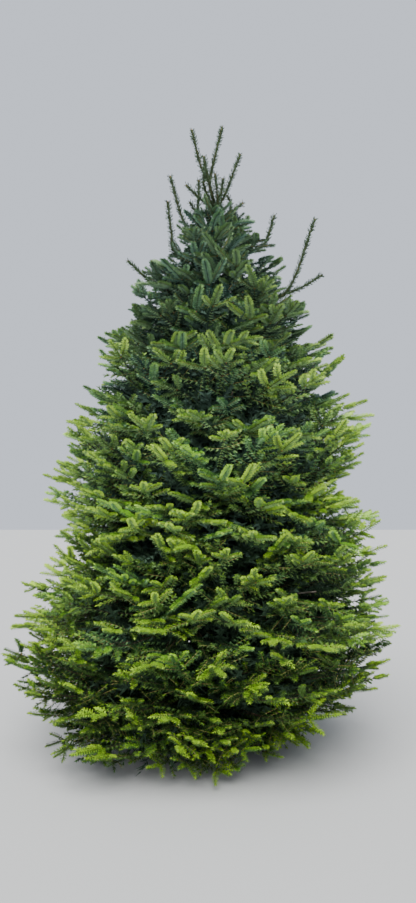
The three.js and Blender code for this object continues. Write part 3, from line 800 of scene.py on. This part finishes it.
# The needles deep inside: older, duller and broader sprays on short twigs, which close the crown. Their dark
# greens are partly their own and partly painted shade.

INNER_TIERS = 5
INNER_ROWS = 5
INNER_COLUMNS = 6
INNER_START = 0.12
INNER_END = 0.68
INNER_LOWEST = 0.14
INNER_SEED = 40
INNER_NEEDLE_LENGTH = 0.055
INNER_NEEDLE_WIDTH = 0.018
INNER_NEEDLE_LEAN = 60
INNER_DENSITY = 100
INNER_TWIG_RADII = (0.004, 0.0015)

inner = Fans([grow_axes(cell, INNER_ROWS, INNER_COLUMNS, INNER_START, INNER_END, INNER_LOWEST, INNER_SEED)
              for cell in cells if cell["tier"] <= INNER_TIERS])
whole = np.ones(len(inner.axes))
inner.on_axis(whole * 0.3, whole, OLD)
for hand in (-1, 1):
    for step, share in enumerate((0.3, 0.6, 0.85)):
        length = inner.length * (0.46 - 0.26 * share)
        inner.beside(whole * share, hand, whole * 1.05, length, 0.0, BACK, 50 + hand + 3 * step)
inner.gather()
inner_bare = inner.axes[:, ::5]
inner_radii = np.linspace(*INNER_TWIG_RADII, inner_bare.shape[1])[None].repeat(len(inner_bare), 0)
inner_twigs = new_piece("twigs_inner", *limb_skin(limb_rings(inner_bare, inner_radii, 3)), [twig_brown_painted_shade])
# Dark greens of the inside needles, darker in the two lowest tiers: partly their own colour, partly painted
# shade.
needle_inner = [new_material("needle_inner_low_dull", (0.037, 0.068, 0.040), 0.7, 0.1)[0],
                new_material("needle_inner_low", (0.053, 0.098, 0.048), 0.7, 0.1)[0],
                new_material("needle_inner_high_dull", (0.050, 0.086, 0.064), 0.7, 0.1)[0],
                new_material("needle_inner_high", (0.070, 0.120, 0.080), 0.7, 0.1)[0]]
for first, last, bright_above, first_shade in ((1, 2, 0.4, 0), (3, INNER_TIERS, 0.2, 2)):
    picked = np.flatnonzero((inner.tiers >= first) & (inner.tiers <= last))
    corners, owner, _, _ = comb(inner.paths[picked], INNER_DENSITY, INNER_NEEDLE_LENGTH, INNER_NEEDLE_WIDTH,
                                INNER_NEEDLE_LEAN, 9, ranks=0)
    faces = np.arange(corners.shape[0] * 3).reshape(-1, 3)
    tints = (chance(owner, 5) > bright_above) + first_shade
    points = corners.reshape(-1, 3)
    piece = new_piece(f"needles_inner_{first}", points, faces, needle_inner, tints, rounded=False)


# The top shoots: a forked double leader and thin upright shoots about it, named as the source's solids.
# Each is one year's growth: a dark stem, short needles close to it and a few long ones that stand out.
# Lone shoots like them stand out of the upper crown, and small ones spring from the trunk.

LEADER_RADIUS = 0.0075
LEADER_TIP_RADIUS = 0.0058
THIN_SHARE = 0.8  # a thin shoot's radius, as a share of a leader's
CLOSE_NEEDLES = {"density": 1000, "length": 0.019, "width": 0.0046, "lean": 48, "seed": 3, "ranks": 0}
STANDING_NEEDLES = {"density": 520, "length": 0.034, "width": 0.0050, "lean": 64, "seed": 4, "ranks": 2}
TOP_SHOOTS = {  # the knots of each
    "leader_left": ((0.032, 0, 3.626), (0.014, -0.002, 3.668),
                    (-0.020, -0.004, 3.745), (-0.076, -0.006, 3.978)),
    "leader_right": ((0.046, 0.001, 3.626), (0.047, 0.002, 3.655),
                     (0.064, 0.004, 3.740), (0.126, 0.008, 4.006)),
    "shoot_right": ((0.086, 0, 3.440), (0.125, -0.006, 3.490),
                    (0.180, -0.014, 3.620), (0.244, -0.020, 3.799)),
    "shoot_left": ((0.082, 0, 3.425), (0.020, 0.004, 3.475),
                   (-0.040, 0.008, 3.530), (-0.111, 0.010, 3.602)),
    "shoot_front": ((0.076, 0, 3.470), (0.060, -0.045, 3.520),
                    (0.030, -0.080, 3.620), (0.005, -0.090, 3.748)),
    "shoot_back": ((0.080, 0, 3.450), (0.092, 0.050, 3.500),
                   (0.120, 0.095, 3.590), (0.135, 0.120, 3.700)),
}
LONE_SHOOTS = (  # the tier and number of the mass, and two knots
    (6, 1, (0.543, -0.030, 2.861), (0.737, -0.040, 3.345)),
    (6, 1, (0.610, 0.060, 2.900), (0.800, 0.090, 3.016)),
    (6, 3, (-0.299, 0.020, 2.903), (-0.502, 0.040, 3.095)),
    (7, 1, (0.391, 0.040, 3.194), (0.479, 0.060, 3.414)),
    (7, 2, (-0.125, 0.030, 3.350), (-0.223, 0.040, 3.677)),
)
LONE_START = 0.35  # where a lone shoot leaves its mass's stem, as a share of the reach
SMALL_SHOOTS = (
    ((0.070, -0.010, 3.440), (0.012, -0.020, 3.560), (0.004, -0.024, 3.640), (0.012, -0.026, 3.740)),
    ((-0.040, -0.060, 3.330), (-0.036, -0.060, 3.420), (-0.030, -0.058, 3.520), (-0.030, -0.056, 3.600)),
    ((0.020, 0.050, 3.330), (-0.020, 0.060, 3.400), (-0.060, 0.066, 3.460), (-0.088, 0.068, 3.510)),
    ((0.092, -0.030, 3.400), (0.096, -0.050, 3.480), (0.088, -0.060, 3.560), (0.080, -0.064, 3.640)),
    ((0.120, 0.030, 3.350), (0.170, 0.040, 3.420), (0.185, 0.044, 3.490), (0.165, 0.046, 3.545)),
    ((0.120, -0.040, 3.340), (0.170, -0.060, 3.380), (0.210, -0.070, 3.405), (0.256, -0.076, 3.440)),
    ((-0.180, -0.040, 3.120), (-0.206, -0.060, 3.240), (-0.222, -0.066, 3.350), (-0.232, -0.070, 3.450)),
    ((0.060, 0.140, 3.300), (0.050, 0.200, 3.400), (0.040, 0.240, 3.500), (0.036, 0.260, 3.620)),
    ((0.020, 0.260, 3.080), (0.000, 0.340, 3.180), (-0.010, 0.380, 3.300), (-0.014, 0.400, 3.420)),
)
SMALL_SHOOT_DROP = 0.1  # how far below its first knot a small shoot leaves the trunk


def smooth_path(knots, places):
    """A smooth curve through knots by the rule of four: between two knots the curve is a cubic whose slope
    at a knot is half the step between its neighbours."""
    knots = np.asarray(knots, dtype=float)
    before = np.concatenate([[2 * knots[0] - knots[1]], knots[:-1]])
    after = np.concatenate([knots[1:], [2 * knots[-1] - knots[-2]]])
    slope = (after - before) / 2
    at = np.linspace(0, len(knots) - 1, places)
    low = np.minimum(at.astype(int), len(knots) - 2)
    t = (at - low)[:, None]
    start, end = knots[low], knots[low + 1]
    leave, arrive = slope[low], slope[low + 1]
    return ((2 * t ** 3 - 3 * t ** 2 + 1) * start + (t ** 3 - 2 * t ** 2 + t) * leave
            + (3 * t ** 2 - 2 * t ** 3) * end + (t ** 3 - t ** 2) * arrive)


def pieces_of(path):
    """A long path as a row of short ones of three places each, end to end."""
    return np.stack([path[:-2:2], path[1:-1:2], path[2::2]], 1)


# The top shoots' stems are dark: partly their own colour, partly painted shade of their shadow side.
stem_dark = bark_material("stem_dark", (0.028, 0.032, 0.012), (0.060, 0.062, 0.022),
                          (0.120, 0.100, 0.040), 60)
needle_dark = [new_material("needle_dark", (0.034, 0.068, 0.026), 0.5, 0.3)[0],
               new_material("needle_grey", (0.080, 0.132, 0.062), 0.5, 0.3)[0]]
cell_of = {(cell["tier"], cell["number"]): cell for cell in cells}
thin_shoots = [(name, smooth_path(knots, 13), (name,)) for name, knots in TOP_SHOOTS.items()]
for index, (tier, number, base, tip) in enumerate(LONE_SHOOTS):
    root = cell_place(cell_of[tier, number], 0.0, 0.0, np.array(LONE_START))
    path = smooth_path([root, base, tip], 21)
    thin_shoots.append((f"lone_shoot_{index + 1}", path, (f"foliage_{tier}_{number}",)))
for index, knots in enumerate(SMALL_SHOOTS):
    root = trunk_centre(np.array(knots[0][2] - SMALL_SHOOT_DROP))
    thin_shoots.append((f"small_shoot_{index + 1}", smooth_path([root, *knots], 13), ()))
for name, path, nodes in thin_shoots:
    radii = np.linspace(LEADER_RADIUS, LEADER_TIP_RADIUS, len(path))
    if not name.startswith("leader"):
        radii = radii * THIN_SHARE
    stem = new_piece(f"{name}_stem", *limb_skin(limb_rings(path[None], radii[None], 7)), [stem_dark])
    corners = np.concatenate([
        comb(pieces_of(path), **kind, pressed=0, twisting=3, blunt=True)[0]
        for kind in (CLOSE_NEEDLES, STANDING_NEEDLES)
    ])
    faces = np.arange(len(corners) * 4).reshape(-1, 4)
    tints = (chance(np.arange(len(corners)), 6) > 0.1).astype(int)
    needles = new_piece(f"{name}_needles", corners.reshape(-1, 3), faces, needle_dark, tints, rounded=False)
    if nodes:
        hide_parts(*nodes)
        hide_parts(*nodes)


# The buds: small, round and waxy, a fresh green one at the tip of each young shoot and an amber one on each
# thin shoot, with an amber knob at each joint of a fan.

BUD_LENGTH = 0.007
BUD_RADIUS = 0.0024
KNOB_RADIUS = BUD_RADIUS * 2.6
THIN_BUD_LENGTH = BUD_LENGTH * 1.7
THIN_BUD_RADIUS = BUD_RADIUS * 2.7


def bud_skin(places, directions, length, radius):
    """Points and faces of buds: on each, a ring of four points about its middle, and a point at either
    end."""
    side = np.cross(directions, [0.31, 0.12, 0.94])
    side /= np.linalg.norm(side, axis=1, keepdims=True)
    up = np.cross(directions, side)
    ring = [places + directions * length * 0.4 + radius * (np.cos(turn) * side + np.sin(turn) * up)
            for turn in np.arange(4) * np.pi / 2]
    points = np.stack([places - directions * length * 0.2, *ring, places + directions * length], 1)
    one = np.array([(0, 2, 1), (0, 3, 2), (0, 4, 3), (0, 1, 4), (5, 1, 2), (5, 2, 3), (5, 3, 4), (5, 4, 1)])
    faces = one[None] + (np.arange(len(points)) * 6)[:, None, None]
    return points.reshape(-1, 3), faces.reshape(-1, 3)


def pointing(paths):
    """The direction in which each path ends."""
    way = paths[:, -1] - paths[:, -2]
    return way / np.linalg.norm(way, axis=1, keepdims=True)


amber = new_material("bud_amber", (0.42, 0.20, 0.06), 0.35, 0.6)[0]
fresh = new_material("bud_fresh", (0.46, 0.50, 0.10), 0.4, 0.4)[0]
young = outer.paths[np.isin(outer.kinds, (TERMINAL, SIDE))]
joints = outer.paths[outer.kinds == OLD]
thin_ends = np.stack([path[-3:] for _, path, _ in thin_shoots])
for name, paths, length, radius, wax in (
    ("buds_tips", young, BUD_LENGTH, BUD_RADIUS, fresh),
    ("buds_joints", joints, BUD_LENGTH, KNOB_RADIUS, amber),
    ("buds_thin", thin_ends, THIN_BUD_LENGTH, THIN_BUD_RADIUS, amber),
):
    buds = new_piece(name, *bud_skin(paths[:, -1], pointing(paths), length, radius), [wax])


# The floor and the light: a plain pale floor under an even, cloudy sky, with one broad soft
# light from high up before the tree, a little to the left.

FLOOR_REACH = 30
FLOOR_GREY = (0.42, 0.42, 0.41)
SKY_COLOUR = (0.78, 0.84, 0.95, 1)
SUN_POWER = 6.8
SUN_BREADTH = np.radians(50)
SUN_TILT = (np.radians(35), np.radians(-5), 0)

floor_mesh = bpy.data.meshes.new("floor")
floor_corners = [(x * FLOOR_REACH, y * FLOOR_REACH, 0) for x, y in ((-1, -1), (1, -1), (1, 1), (-1, 1))]
floor_mesh.from_pydata(floor_corners, [], [(0, 1, 2, 3)])
floor = bpy.data.objects.new("floor", floor_mesh)
floor_mesh.materials.append(new_material("floor", FLOOR_GREY, 0.9)[0])
bpy.context.collection.objects.link(floor)

world = bpy.data.worlds.new("sky")
world.use_nodes = True
world.node_tree.nodes["Background"].inputs["Color"].default_value = SKY_COLOUR
world.node_tree.nodes["Background"].inputs["Strength"].default_value = 1.0
bpy.context.scene.world = world
sun = bpy.data.objects.new("soft_sun", bpy.data.lights.new("soft_sun", "SUN"))
sun.data.energy = SUN_POWER
sun.data.angle = SUN_BREADTH
sun.rotation_euler = SUN_TILT
bpy.context.collection.objects.link(sun)
